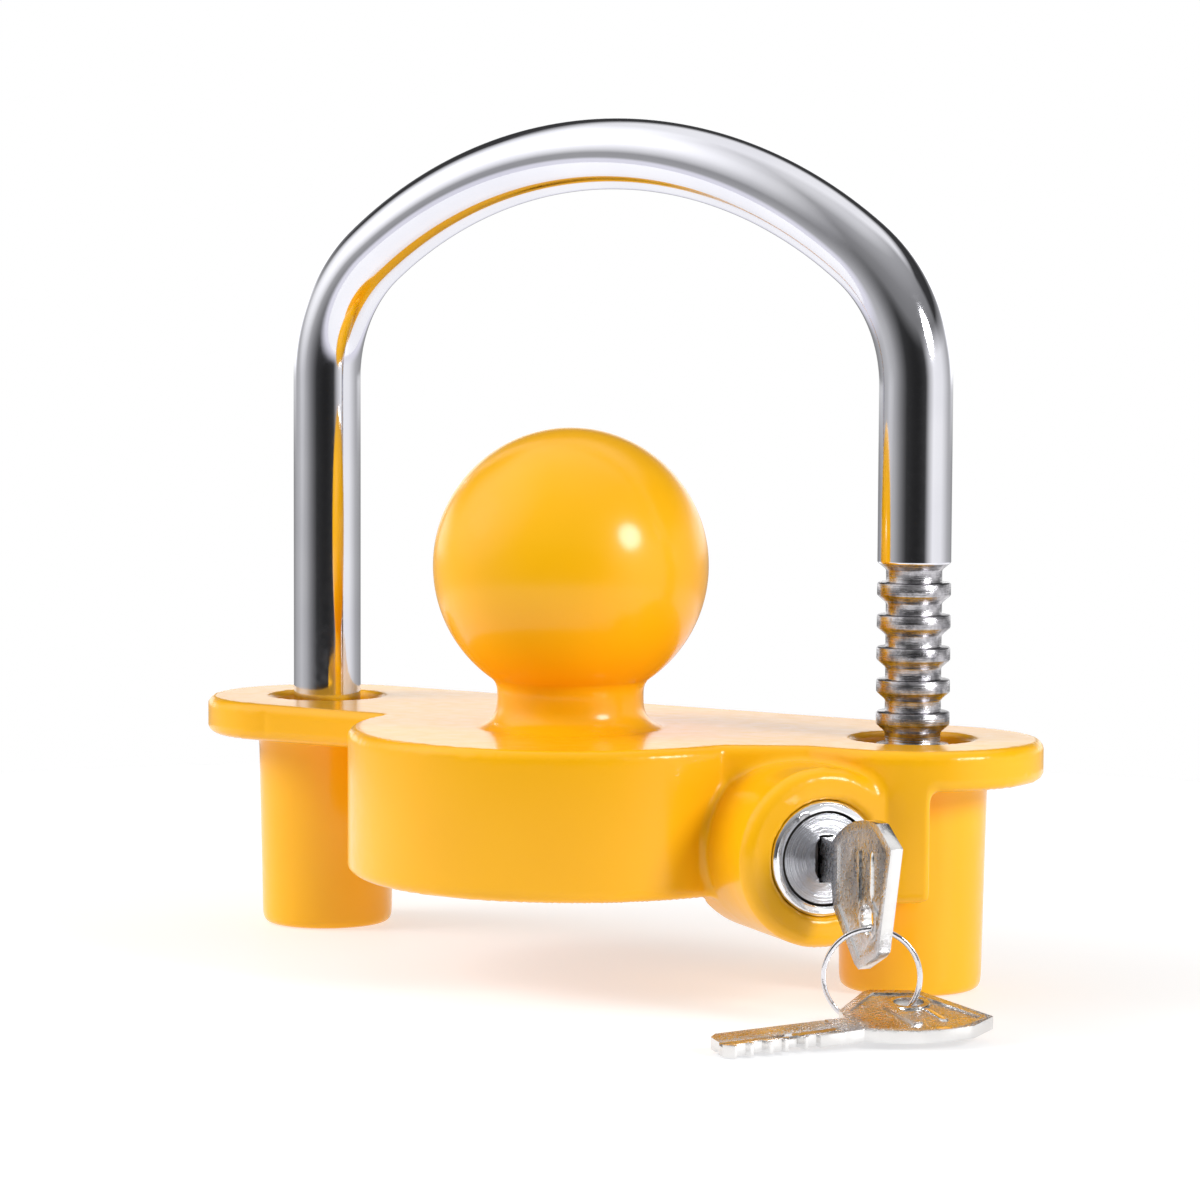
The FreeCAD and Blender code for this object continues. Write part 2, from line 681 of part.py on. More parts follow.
# ---- keys and ring
def key_outline(thickness):
    """Bow and neck: u along +X, v along +Y, w across along +Z, centred on w = 0."""
    half = blade_height / 2
    neck_top = V(bow_start, half - bow_neck_inset, 0)
    corners = [V(u * bow_length, v * bow_top, 0) for u, v in bow_corners_above]
    corners += [V(u * bow_length, -v * bow_bottom, 0) for u, v in bow_corners_below]
    corners.append(V(bow_start + bow_neck_run, -half - bow_neck_drop, 0))
    neck_low = V(bow_start, -half + bow_neck_inset, 0)
    shoulder = V(bow_shoulder[0] * bow_length, bow_shoulder[1] * bow_top, 0)
    edges = [Part.Arc(neck_top, shoulder, corners[0]).toShape()]
    ends = corners + [neck_low, V(shoulder_gap, -half, 0), V(shoulder_gap, half, 0), neck_top]
    edges += [Part.makeLine(a, b) for a, b in zip(ends, ends[1:])]
    face = Part.Face(Part.Wire(edges))
    return face.extrude(V(0, 0, thickness)).translated(V(0, 0, -thickness / 2))


def key_blade():
    half = blade_height / 2
    tip = -blade_length
    points = [(tip, -half + blade_tip_chamfer), (tip + blade_tip_chamfer, -half),
              (shoulder_gap + 0.2, -half), (shoulder_gap + 0.2, half)]
    for index, depth in enumerate(blade_cuts):
        centre = wafer_place(index)
        points += [(centre + cut_width / 2 + depth / 2, half), (centre + cut_width / 2, half - depth),
                   (centre - cut_width / 2, half - depth), (centre - cut_width / 2 - depth / 2, half)]
    points += [(tip + blade_tip_chamfer, half), (tip, half - blade_tip_chamfer)]
    blade = prism(points, -blade_thickness / 2, blade_thickness / 2)
    quarter = blade_thickness / 4
    low = -blade_groove_half
    high = blade_groove_half
    rise = blade_groove_rise
    return blade.cut([box(tip - 1, bow_start, low, high, quarter, blade_thickness),
                      box(tip - 1, bow_start, low + rise, high + rise, -blade_thickness, -quarter)])


def key_shape():
    """A whole flat key: blade, bow with a sunk panel and a rib on each side, and the ring hole."""
    bow = key_outline(bow_thickness)
    hole = cylinder(ring_hole_radius, 2 * bow_thickness, V(ring_hole_u, ring_hole_v, -bow_thickness))
    face = [f for f in bow.Faces if abs(f.normalAt(0, 0).z) > 0.99 and f.CenterOfMass.z > 0][0]
    panel_wire = face.OuterWire.makeOffset2D(-bow_rim)
    panel = Part.Face(panel_wire).extrude(V(0, 0, bow_thickness))
    panel = panel.cut(box(-BEYOND, bow_start + bow_panel_start, -BEYOND, BEYOND, -BEYOND, BEYOND))
    rib_start = ring_hole_u - bow_rib_left
    rib = box(rib_start, rib_start + bow_rib_width, -blade_height, bow_rib_top, 0, bow_thickness / 2)
    collar = cylinder(ring_hole_radius + bow_collar_width, bow_thickness / 2, V(ring_hole_u, ring_hole_v, 0))
    sunk = panel.translated(V(0, 0, -bow_panel_depth)).cut([rib, collar])
    other = sunk.mirror(V(0, 0, 0), UP)
    return joined(bow, [key_blade()]).cut([hole, sunk, other])


def key():
    """The key in the lock: u outwards, v up, w towards -x in the lock's frame."""
    placed = key_shape()
    turn = FreeCAD.Rotation(V(0, 0, 1), V(0, 1, 0), V(-1, 0, 0), "XYZ")
    placed.Placement = FreeCAD.Placement(V(0, 0, 0), turn)
    return in_lock(placed)


def ring_axes():
    """The ring's centre, its level direction and its normal, in the lock's frame."""
    lean = radians(ring_azimuth)
    top = ring_hole_v - ring_hole_radius + ring_wire_radius + ring_play
    return V(0, top - ring_radius, ring_hole_u), V(cos(lean), 0, sin(lean)), V(-sin(lean), 0, cos(lean))


def key_ring():
    centre, level, normal = ring_axes()
    return in_lock(Part.makeTorus(ring_radius, ring_wire_radius, centre, normal))


def spare_key():
    """Lies on the floor, with its hole round the ring's wire."""
    centre, level, normal = ring_axes()
    station = radians(spare_station)
    hole = centre + level * (ring_radius * sin(station)) - V(0, ring_radius * cos(station), 0)
    turn = radians(spare_turn)
    out = level * cos(turn) - normal * sin(turn)
    side = level * sin(turn) + normal * cos(turn)
    placed = key_shape().translated(V(-ring_hole_u, -ring_hole_v, 0))
    placed.Placement = FreeCAD.Placement(V(0, 0, 0), FreeCAD.Rotation(out, side, V(0, -1, 0), "XYZ")
                                         ).multiply(placed.Placement)
    placed.rotate(V(0, 0, 0), level, spare_tilt)
    placed.translate(hole)
    return in_lock(placed)


makers = (body_casting, lock_cylinder_housing, cylinder_retaining_pin, latch_cover, latch_cover_screws,
          bolt_spring, shackle, lock_plug, wafers, wafer_springs, plug_retaining_clip, drive_cam,
          drive_pin, cam_screw, lock_bolt, key, key_ring, spare_key)

if __name__ == "__main__":
    os.makedirs("parts", exist_ok=True)
    for maker in makers:
        shape = maker()
        shape.exportStep("parts/" + maker.__name__ + ".step")
        bounds = shape.BoundBox
        print("%-24s %-5s %2d solids %10.1f mm3  x %7.2f %7.2f  y %7.2f %7.2f  z %7.2f %7.2f" % (
            maker.__name__, shape.isValid(), len(shape.Solids), shape.Volume, bounds.XMin, bounds.XMax,
            bounds.YMin, bounds.YMax, bounds.ZMin, bounds.ZMax))
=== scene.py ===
import json
import math

import bmesh
import bpy
import numpy as np
from mathutils import Matrix, Vector


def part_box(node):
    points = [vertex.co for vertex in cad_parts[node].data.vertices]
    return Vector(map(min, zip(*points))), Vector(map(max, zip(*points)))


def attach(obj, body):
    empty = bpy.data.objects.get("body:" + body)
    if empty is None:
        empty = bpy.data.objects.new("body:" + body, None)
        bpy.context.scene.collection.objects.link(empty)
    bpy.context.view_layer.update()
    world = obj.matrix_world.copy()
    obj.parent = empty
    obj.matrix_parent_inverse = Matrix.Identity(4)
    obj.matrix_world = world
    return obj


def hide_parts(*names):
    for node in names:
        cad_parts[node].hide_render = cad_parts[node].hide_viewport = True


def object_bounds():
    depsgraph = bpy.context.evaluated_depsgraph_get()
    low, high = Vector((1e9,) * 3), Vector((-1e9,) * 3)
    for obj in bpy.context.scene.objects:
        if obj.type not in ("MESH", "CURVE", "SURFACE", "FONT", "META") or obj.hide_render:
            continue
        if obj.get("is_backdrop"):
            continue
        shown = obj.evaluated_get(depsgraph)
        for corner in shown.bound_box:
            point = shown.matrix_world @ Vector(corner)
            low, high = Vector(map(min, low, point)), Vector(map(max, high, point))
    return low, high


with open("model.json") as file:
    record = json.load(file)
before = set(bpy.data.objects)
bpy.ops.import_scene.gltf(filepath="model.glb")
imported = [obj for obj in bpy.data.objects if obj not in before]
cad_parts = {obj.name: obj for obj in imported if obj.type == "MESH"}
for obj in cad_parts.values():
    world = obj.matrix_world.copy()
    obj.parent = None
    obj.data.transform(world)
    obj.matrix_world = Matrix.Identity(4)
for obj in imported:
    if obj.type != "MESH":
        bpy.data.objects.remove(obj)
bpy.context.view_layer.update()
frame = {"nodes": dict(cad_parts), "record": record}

MM = 0.001


def lock_places():
    """The lock's outward axis, and the centre of its face in mm."""
    joint = next(j for j in frame["record"]["behaviour"]["joints"] if j["name"] == "plug_turn")
    out = -Vector(joint["axis"]).normalized()
    return out, Vector(joint["pos_m"]) / MM


# ---- small helpers for node materials
NOISE_LOW, NOISE_HIGH = 0.3, 0.7       # between these a noise spends nearly all its time


def between(low, high):
    """Two stops of a colour ramp over a noise's usual reach."""
    return [(NOISE_LOW, low), (NOISE_HIGH, high)]


class Shader:
    """A Principled material with short calls for the nodes that feed it."""

    def __init__(self, name):
        self.material = bpy.data.materials.new(name)
        self.material.use_nodes = True
        self.nodes = self.material.node_tree.nodes
        self.links = self.material.node_tree.links
        self.surface = self.nodes["Principled BSDF"]
        self.place = self.nodes.new("ShaderNodeTexCoord").outputs["Object"]

    def set(self, **values):
        for name, value in values.items():
            self.surface.inputs[name.replace("_", " ")].default_value = value

    def join(self, source, socket):
        self.links.new(source, self.surface.inputs[socket])

    def noise(self, scale, detail=3.0, roughness=0.5, place=None):
        node = self.nodes.new("ShaderNodeTexNoise")
        node.inputs["Scale"].default_value = scale
        node.inputs["Detail"].default_value = detail
        node.inputs["Roughness"].default_value = roughness
        self.links.new(place or self.place, node.inputs["Vector"])
        return node.outputs["Fac"]

    def stretched(self, scale):
        node = self.nodes.new("ShaderNodeMapping")
        node.inputs["Scale"].default_value = scale
        self.links.new(self.place, node.inputs["Vector"])
        return node.outputs["Vector"]

    def ramp(self, source, stops):
        node = self.nodes.new("ShaderNodeValToRGB")
        elements = node.color_ramp.elements
        while len(elements) < len(stops):
            elements.new(0.5)
        for element, (place, colour) in zip(elements, stops):
            element.position = place
            element.color = (*colour, 1.0)
        self.links.new(source, node.inputs["Fac"])
        return node.outputs["Color"]

    def spread(self, source, low, high):
        """Maps a noise's usual reach, 0.3 to 0.7, onto low to high."""
        node = self.nodes.new("ShaderNodeMapRange")
        node.inputs["From Min"].default_value = NOISE_LOW
        node.inputs["From Max"].default_value = NOISE_HIGH
        node.inputs["To Min"].default_value = low
        node.inputs["To Max"].default_value = high
        self.links.new(source, node.inputs["Value"])
        return node.outputs["Result"]

    def vector(self, operation, one, other):
        node = self.nodes.new("ShaderNodeVectorMath")
        node.operation = operation
        self.links.new(one, node.inputs[0])
        if other:
            node.inputs[1].default_value = other
        return node.outputs["Value" if operation == "LENGTH" else "Vector"]

    def bump(self, height, strength, distance, under=None):
        node = self.nodes.new("ShaderNodeBump")
        node.inputs["Strength"].default_value = strength
        node.inputs["Distance"].default_value = distance
        self.links.new(height, node.inputs["Height"])
        if under:
            self.links.new(under, node.inputs["Normal"])
        return node.outputs["Normal"]


def yellow_paint():
    """Thick satin-gloss enamel: slow colour drift, faint orange peel and a clear top layer."""
    shader = Shader("yellow_paint")
    shader.set(Metallic=0.0, Specular_IOR_Level=0.12, Coat_Weight=0.7, Coat_Roughness=0.17, Coat_IOR=1.45)
    drift = shader.noise(24.0, 2.0)
    shader.join(shader.ramp(drift, between((0.96, 0.460, 0.003), (1.0, 0.505, 0.005))), "Base Color")
    shader.join(shader.spread(shader.noise(350.0), 0.30, 0.42), "Roughness")
    shader.join(shader.bump(shader.noise(260.0, 1.0), 0.12, 0.0003), "Normal")
    return shader.material


def chrome_bar():
    """Bright plate over drawn bar: a slow tone drift and a faintly uneven surface."""
    shader = Shader("chrome_bar")
    shader.set(Metallic=1.0)
    drift = shader.noise(60.0, 2.0)
    shader.join(shader.ramp(drift, between((0.77, 0.77, 0.83), (0.85, 0.85, 0.90))), "Base Color")
    shader.join(shader.spread(shader.noise(900.0), 0.06, 0.10), "Roughness")
    shader.join(shader.bump(shader.noise(120.0, 1.0), 0.02, 0.0003), "Normal")
    return shader.material


def turned_steel():
    """Grooves cut on a lathe: fine rings round the leg and small bright and dull patches."""
    shader = Shader("turned_steel")
    shader.set(Metallic=1.0)
    rings = shader.noise(1.0, 3.0, 0.7, shader.stretched((60.0, 60.0, 4200.0)))
    patches = shader.noise(420.0, 4.0, 0.7)
    dull, bright = (0.20, 0.195, 0.21), (0.60, 0.585, 0.61)
    shader.join(shader.ramp(patches, [(0.35, dull), (0.62, bright)]), "Base Color")
    shader.join(shader.spread(rings, 0.14, 0.34), "Roughness")
    fine = shader.bump(rings, 0.35, 0.0002)
    shader.join(shader.bump(patches, 0.25, 0.0003, fine), "Normal")
    return shader.material


def bare_steel(name, dark, light, low, high, grain=0.15):
    """Machined or stamped metal: uneven gloss, of roughness low to high, and a fine grain."""
    fine = 700.0
    shader = Shader(name)
    shader.set(Metallic=1.0)
    shader.join(shader.ramp(shader.noise(90.0, 3.0), between(dark, light)), "Base Color")
    shader.join(shader.spread(shader.noise(fine), low, high), "Roughness")
    shader.join(shader.bump(shader.noise(fine * 2), grain, 0.0002), "Normal")
    return shader.material


def key_panel():
    """Coarse stamped grain on the bow of a key."""
    shader = Shader("key_panel")
    shader.set(Metallic=1.0)
    drift = shader.noise(160.0, 3.0)
    shader.join(shader.ramp(drift, between((0.46, 0.46, 0.48), (0.70, 0.71, 0.74))), "Base Color")
    speckle = shader.noise(1700.0, 2.0, 0.6)
    shader.join(shader.spread(speckle, 0.18, 0.40), "Roughness")
    shader.join(shader.bump(speckle, 0.55, 0.0003), "Normal")
    return shader.material


def faced_nickel():
    """The plug's turned face: fine rings about the lock's axis, which spread the light in wedges."""
    out, face = lock_places()
    shader = Shader("plug_nickel")
    shader.set(Metallic=1.0)
    drift = shader.noise(240.0, 3.0)
    shader.join(shader.ramp(drift, between((0.52, 0.53, 0.57), (0.62, 0.63, 0.67))), "Base Color")
    away = shader.vector("SUBTRACT", shader.place, tuple(face * MM))
    around = shader.vector("LENGTH", shader.vector("CROSS_PRODUCT", away, tuple(out)), None)
    rings = shader.nodes.new("ShaderNodeTexNoise")
    rings.noise_dimensions = "1D"
    rings.inputs["Scale"].default_value = 7000.0
    shader.links.new(around, rings.inputs["W"])
    shader.join(shader.spread(rings.outputs["Fac"], 0.16, 0.26), "Roughness")
    shader.join(shader.bump(rings.outputs["Fac"], 0.45, 0.0002), "Normal")
    return shader.material


MATERIALS = {
    "yellow_paint": yellow_paint(),
    "chrome_bar": chrome_bar(),
    "turned_steel": turned_steel(),
    "bezel_chrome": bare_steel("bezel_chrome", (0.80, 0.81, 0.84), (0.90, 0.91, 0.94), 0.08, 0.14,
                               grain=0.06),
    "plug_nickel": faced_nickel(),
    "plain_steel": bare_steel("plain_steel", (0.45, 0.45, 0.46), (0.62, 0.62, 0.63), 0.30, 0.45),
    "spring_steel": bare_steel("spring_steel", (0.32, 0.32, 0.34), (0.46, 0.46, 0.48), 0.30, 0.42),
    "brass": bare_steel("brass", (0.72, 0.52, 0.20), (0.84, 0.64, 0.30), 0.28, 0.40),
    "key_nickel": bare_steel("key_nickel", (0.70, 0.69, 0.68), (0.86, 0.85, 0.84), 0.12, 0.24),
    # painted shade: near-black steel for the faces of the keyway, the bezel's bore and the plug's rim and
    # side, where the gaps lie in shadow
    "painted_shade": bare_steel("painted_shade", (0.05, 0.05, 0.05), (0.14, 0.13, 0.12), 0.35, 0.55),
    "key_panel": key_panel(),
    "ring_nickel": bare_steel("ring_nickel", (0.72, 0.71, 0.74), (0.86, 0.85, 0.88), 0.08, 0.16),
}


def dress_cad():
    """Every CAD node gets the material of its own slot."""
    for part in frame["record"]["subparts"]:
        thing = frame["nodes"][part["node"]]
        thing.data.materials.clear()
        thing.data.materials.append(MATERIALS[part["material_slot"]])


dress_cad()


# ---- places, in millimetres in the model's frame; legs and levels come from the CAD boxes
def box_mm(node):
    low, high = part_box(node)
    return Vector(low) / MM, Vector(high) / MM


SHACKLE_LOW, SHACKLE_HIGH = box_mm("shackle")
BAR = (SHACKLE_HIGH.y - SHACKLE_LOW.y) / 2
LEG_Y = (SHACKLE_HIGH.y + SHACKLE_LOW.y) / 2
LEFT_X = SHACKLE_LOW.x + BAR
RIGHT_X = SHACKLE_HIGH.x - BAR
CAST_LOW, CAST_HIGH = box_mm("body_casting")
BALL = CAST_HIGH.z
PLATE_TOP = -26.9
PLATE_BOTTOM = -33.3
BULGE = 37.0
BULGE_BOTTOM = -51.1
BOSS = 14.3                # radii of the lock's boss, its bore and the wells round the legs
BOSS_BORE = 9.22
LEG_WELL = 9.65
LEG_PLAY = 0.4
VOXEL = 0.55
SOFTENING = 12             # rounds of relaxing
SETTLINGS = 2
KEPT_FACES = 0.7
EAR = CAST_HIGH.x - RIGHT_X


def new_object(name, mesh, body, slot, *nodes):
    """Links a finished mesh in metres to its body and hides the CAD nodes it stands for; slot is not used.
    """
    thing = bpy.data.objects.new(name, mesh)
    bpy.context.scene.collection.objects.link(thing)
    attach(thing, body)
    if nodes:
        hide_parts(*nodes)
    return thing


def finished(form, name):
    """The mesh of a bmesh, which is freed."""
    mesh = bpy.data.meshes.new(name)
    form.to_mesh(mesh)
    form.free()
    return mesh


def smooth(mesh, angle=None):
    mesh.polygons.foreach_set("use_smooth", [True] * len(mesh.polygons))
    if angle:
        mesh.set_sharp_from_angle(angle=math.radians(angle))
    mesh.update()


def applied(mesh, *changes):
    """A mesh with modifiers worked in; each change is (type, settings)."""
    thing = bpy.data.objects.new("work", mesh)
    bpy.context.scene.collection.objects.link(thing)
    for kind, settings in changes:
        modifier = thing.modifiers.new(kind, kind)
        for name, value in settings.items():
            setattr(modifier, name, value)
    ready = bpy.data.meshes.new_from_object(thing.evaluated_get(bpy.context.evaluated_depsgraph_get()))
    bpy.data.objects.remove(thing)
    return ready


# ---- the painted casting, with the soft corners that thick paint and a die leave
def vertex_array(mesh):
    points = np.empty(len(mesh.vertices) * 3)
    mesh.vertices.foreach_get("co", points)
    return points.reshape(-1, 3)


def normal_array(mesh):
    mesh.update()
    normals = np.empty(len(mesh.vertices) * 3)
    mesh.vertices.foreach_get("normal", normals)
    return normals.reshape(-1, 3)


def relax(points, pairs, rounds):
    """Moves each point half of the way to the middle of its neighbours, again and again."""
    count = len(points)
    share = np.bincount(pairs.ravel(), minlength=count)[:, None]
    for _ in range(rounds):
        total = np.empty_like(points)
        for axis in range(3):
            total[:, axis] = (np.bincount(pairs[:, 0], points[pairs[:, 1], axis], count)
                              + np.bincount(pairs[:, 1], points[pairs[:, 0], axis], count))
        points = points + 0.5 * (total / share - points)
    return points


# a wall gives each point's distance from a true surface and the direction away from it
def plane(point, normal):
    point, normal = np.array(point), np.array(normal) / np.linalg.norm(normal)

    def offset(points):
        return (points - point) @ normal, np.tile(normal, (len(points), 1))
    return offset


def round_wall(point, axis, radius):
    point, axis = np.array(point), np.array(axis) / np.linalg.norm(axis)

    def offset(points):
        arm = points - point
        arm = arm - np.outer(arm @ axis, axis)
        length = np.linalg.norm(arm, axis=1)
        return length - radius, arm / np.maximum(length, 1e-6)[:, None]
    return offset


def ball_wall(radius):
    def offset(points):
        length = np.linalg.norm(points, axis=1)
        return length - radius, points / np.maximum(length, 1e-6)[:, None]
    return offset


def settle(points, normals, walls):
    """Draws points that lie almost on a true surface onto it, and leaves the soft corners alone."""
    reach, sure, aligned, blend = 0.22, 0.4, 0.93, 0.04
    for offset in walls:
        away, direction = offset(points)
        facing = np.abs(np.sum(direction * normals, axis=1))
        near = np.clip((reach - np.abs(away)) / (sure * reach), 0, 1)
        weight = near * np.clip((facing - aligned) / blend, 0, 1)
        points = points - (weight * away)[:, None] * direction
    return points


def true_walls():
    out, face = lock_places()
    up = (0, 0, 1)
    walls = [ball_wall(BALL), plane((0, 0, PLATE_TOP), up), plane((0, 0, PLATE_BOTTOM), up),
             plane((0, 0, BULGE_BOTTOM), up), round_wall((0, 0, 0), up, BULGE),
             round_wall(face, out, BOSS), plane(face, out), round_wall(face, out, BOSS_BORE),
             plane((0, LEG_Y - EAR, 0), (0, 1, 0)), plane((0, LEG_Y + EAR, 0), (0, 1, 0))]
    for x in (LEFT_X, RIGHT_X):
        walls += [round_wall((x, LEG_Y, 0), up, radius) for radius in (EAR, BAR + LEG_PLAY, LEG_WELL)]
    return walls


def painted_casting():
    """The casting as one skin: voxels, softened, and drawn back onto the surfaces that are true."""
    source = frame["nodes"]["body_casting"].data.copy()
    mesh = applied(source, ("REMESH", {"mode": "VOXEL", "voxel_size": VOXEL * MM}))
    pairs = np.empty(len(mesh.edges) * 2, dtype=np.int32)
    mesh.edges.foreach_get("vertices", pairs)
    pairs = pairs.reshape(-1, 2)
    points = relax(vertex_array(mesh) / MM, pairs, SOFTENING)
    for _ in range(SETTLINGS):
        mesh.vertices.foreach_set("co", (points * MM).ravel())
        points = settle(points, normal_array(mesh), true_walls())
    low, high = np.array(CAST_LOW), np.array(CAST_HIGH)
    mesh.vertices.foreach_set("co", (np.clip(points, low, high) * MM).ravel())
    mesh = applied(mesh, ("DECIMATE", {"ratio": KEPT_FACES}))
    smooth(mesh)
    mesh.materials.clear()
    mesh.materials.append(MATERIALS["yellow_paint"])
    new_object("painted_casting", mesh, "body", "yellow_paint", "body_casting")


# ---- the shackle: a bent round bar and a turned ratchet leg with broken edges
CORNER = 27.2              # radius of the bends, and how far they sweep
CORNER_SWEEP = math.radians(51.9)
SHOULDER = 57.2            # heights are above the plate
PLAIN_END = 28.6
PLAIN_OVERLAP = 0.5        # the bar's last ring stands this far above the ratchet
GROOVE_PITCH = 5.26
GROOVE_COUNT = 7
GROOVE_CORE = 4.55
GROOVE_DOWN = 3.2          # from one land's top to the foot of its lower slope
FIRST_LAND = 3.2           # below the plain part's end
LAND = 2.1
FOOT_CHAMFER = 1.0
BEND_STEPS = 20
CROWN_STEPS = 30           # for each half of the crown
AROUND = 72


def bend(side, step):
    """A point of the corner on one side (-1 or 1), from its shoulder upwards."""
    turn = CORNER_SWEEP * step / BEND_STEPS
    across = (RIGHT_X - LEFT_X) / 2 - CORNER * (1 - math.cos(turn))
    return side * across, SHOULDER + CORNER * math.sin(turn), side * (turn - math.pi / 2)


def bar_line():
    """Points and headings along the bar's centre, from the plain leg's foot to the ratchet."""
    half = (RIGHT_X - LEFT_X) / 2
    middle = (RIGHT_X + LEFT_X) / 2
    top_x, top_z, _ = bend(1, BEND_STEPS)
    crown_turn = math.pi / 2 - CORNER_SWEEP
    crown = top_x / math.sin(crown_turn)
    crown_z = top_z - crown * math.cos(crown_turn)
    foot = SHACKLE_LOW.z - PLATE_TOP
    rises = (0.0, FOOT_CHAMFER, FOOT_CHAMFER + 0.2)
    line = [(-half, foot + rise, math.pi / 2) for rise in rises]
    line += [(-half, z, math.pi / 2) for z in (0.0, 20.0, 40.0, SHOULDER - 1.0)]
    line += [bend(-1, step) for step in range(BEND_STEPS + 1)]
    for step in range(1, 2 * CROWN_STEPS):
        turn = crown_turn * (1 - step / CROWN_STEPS)
        line.append((-crown * math.sin(turn), crown_z + crown * math.cos(turn), turn))
    line += [bend(1, step) for step in range(BEND_STEPS, -1, -1)]
    line += [(half, z, -math.pi / 2) for z in (SHOULDER - 1.0, 40.0, PLAIN_END + PLAIN_OVERLAP)]
    return [(x + middle, z + PLATE_TOP, heading) for x, z, heading in line]


def ratchet_profile():
    """(radius, height) down the ratchet leg, with small breaks on the turned edges."""
    edge = 0.16
    profile = [(BAR, PLAIN_END + PLAIN_OVERLAP), (BAR, PLAIN_END + 0.3), (BAR, PLAIN_END + edge),
               (BAR - edge, PLAIN_END - 0.5 * edge), (GROOVE_CORE + edge, PLAIN_END - 1.0),
               (GROOVE_CORE, PLAIN_END - 1.3)]
    for index in range(GROOVE_COUNT):
        land = PLAIN_END - FIRST_LAND - index * GROOVE_PITCH
        profile += [(GROOVE_CORE, land + edge), (GROOVE_CORE + 0.4 * edge, land + 0.4 * edge),
                    (GROOVE_CORE + edge, land), (BAR - edge, land), (BAR, land - edge),
                    (BAR, land - LAND + edge), (BAR - 0.6 * edge, land - LAND - 0.4 * edge),
                    (GROOVE_CORE + edge, land - GROOVE_DOWN), (GROOVE_CORE, land - GROOVE_DOWN - 0.3)]
    tip = SHACKLE_LOW.z - PLATE_TOP
    profile += [(GROOVE_CORE, tip + 1.1), (GROOVE_CORE - 1.0, tip), (0.0, tip)]
    return [(radius, height + PLATE_TOP) for radius, height in profile]


def ring_of(form, centre, side, radius):
    """A ring of vertices round a centre; side is the in-plane direction across the bar."""
    ring = []
    for index in range(AROUND):
        turn = 2 * math.pi * index / AROUND
        ring.append(form.verts.new((centre + side * radius * math.cos(turn)
                                    + Vector((0, 1, 0)) * radius * math.sin(turn)) * MM))
    return ring


def skin(form, rings, material):
    """Faces between rings that follow one another."""
    for one, other in zip(rings, rings[1:]):
        for index in range(AROUND):
            after = (index + 1) % AROUND
            face = form.faces.new((one[index], one[after], other[after], other[index]))
            face.material_index = material


def bright_shackle():
    """The chromed bar, swept from its foot, and the ratchet leg turned below its other end."""
    form = bmesh.new()
    rings = []
    for number, (x, z, heading) in enumerate(bar_line()):
        side = Vector((-math.sin(heading), 0, math.cos(heading)))
        radius = BAR - FOOT_CHAMFER if number == 0 else BAR
        rings.append(ring_of(form, Vector((x, LEG_Y, z)), side, radius))
    form.faces.new(rings[0])
    skin(form, rings, 0)
    profile = ratchet_profile()
    down = Vector((-math.sin(-math.pi / 2), 0, 0))
    leg = [rings[-1]]
    for radius, z in profile[1:-1]:
        leg.append(ring_of(form, Vector((RIGHT_X, LEG_Y, z)), down, radius))
    skin(form, leg[:4], 0)
    skin(form, leg[3:], 1)
    end = form.faces.new(list(reversed(leg[-1])))
    end.material_index = 1
    bmesh.ops.recalc_face_normals(form, faces=form.faces)
    mesh = finished(form, "bright_shackle")
    smooth(mesh, 50)
    mesh.materials.append(MATERIALS["chrome_bar"])
    mesh.materials.append(MATERIALS["turned_steel"])
    new_object("bright_shackle", mesh, "shackle", "chrome_bar", "shackle")


# ---- keys and lock: the CAD shape with its edges broken
CREASE = math.radians(28)  # edges sharper than this are broken
RIM_BEVEL = 0.42
KEY_BEVEL = 0.12
CAD_MERGE = 0.002          # mm between points of the CAD mesh that are one
BEVEL_MERGE = 0.004        # mm between points that the bevels brought together
SLIVER = 0.002
PANEL_AREA = 12.0          # a key's flat faces over this, in square mm, are its panels


def mended(mesh):
    """Joins points that the bevels brought together and drops the faces with no area between them."""
    form = bmesh.new()
    form.from_mesh(mesh)
    bmesh.ops.remove_doubles(form, verts=form.verts, dist=BEVEL_MERGE * MM)
    bmesh.ops.dissolve_degenerate(form, dist=SLIVER * MM, edges=form.edges)
    form.to_mesh(mesh)
    form.free()


def broken_edges(name, node, body, slot, width, panel=None, rim=None):
    """The CAD node's mesh with its flat faces joined up again and small bevels on the edges.
    The edges whose ends rim(point), in mm, picks get a broader bevel first. The faces that
    panel(face) picks get the key panel's material."""
    form = bmesh.new()
    form.from_mesh(frame["nodes"][node].data)
    bmesh.ops.remove_doubles(form, verts=form.verts, dist=CAD_MERGE * MM)
    bmesh.ops.dissolve_limit(form, angle_limit=math.radians(1.0), verts=form.verts, edges=form.edges)
    if rim:
        edges = [edge for edge in form.edges if all(rim(point.co / MM) for point in edge.verts)]
        bmesh.ops.bevel(form, geom=edges, offset=RIM_BEVEL * MM, segments=1, affect="EDGES")
    mesh = applied(finished(form, name), ("BEVEL", {
        "width": width * MM, "segments": 2, "limit_method": "ANGLE", "angle_limit": CREASE,
        "use_clamp_overlap": True}))
    mended(mesh)
    smooth(mesh, 40)
    mesh.materials.clear()
    mesh.materials.append(MATERIALS[slot])
    if panel:
        mesh.materials.append(MATERIALS["key_panel"])
        for face in mesh.polygons:
            if panel(face):
                face.material_index = 1
    return new_object(name, mesh, body, slot, node)


def stamped_key(name, node, body):
    """A key whose large flat faces have the panel's grain."""
    largest = max(frame["nodes"][node].data.polygons, key=lambda face: face.area)
    flat = largest.normal.copy()

    def panel(face):
        return abs(face.normal.dot(flat)) > 0.99 and face.area > PANEL_AREA * MM * MM
    broken_edges(name, node, body, "key_nickel", KEY_BEVEL, panel)


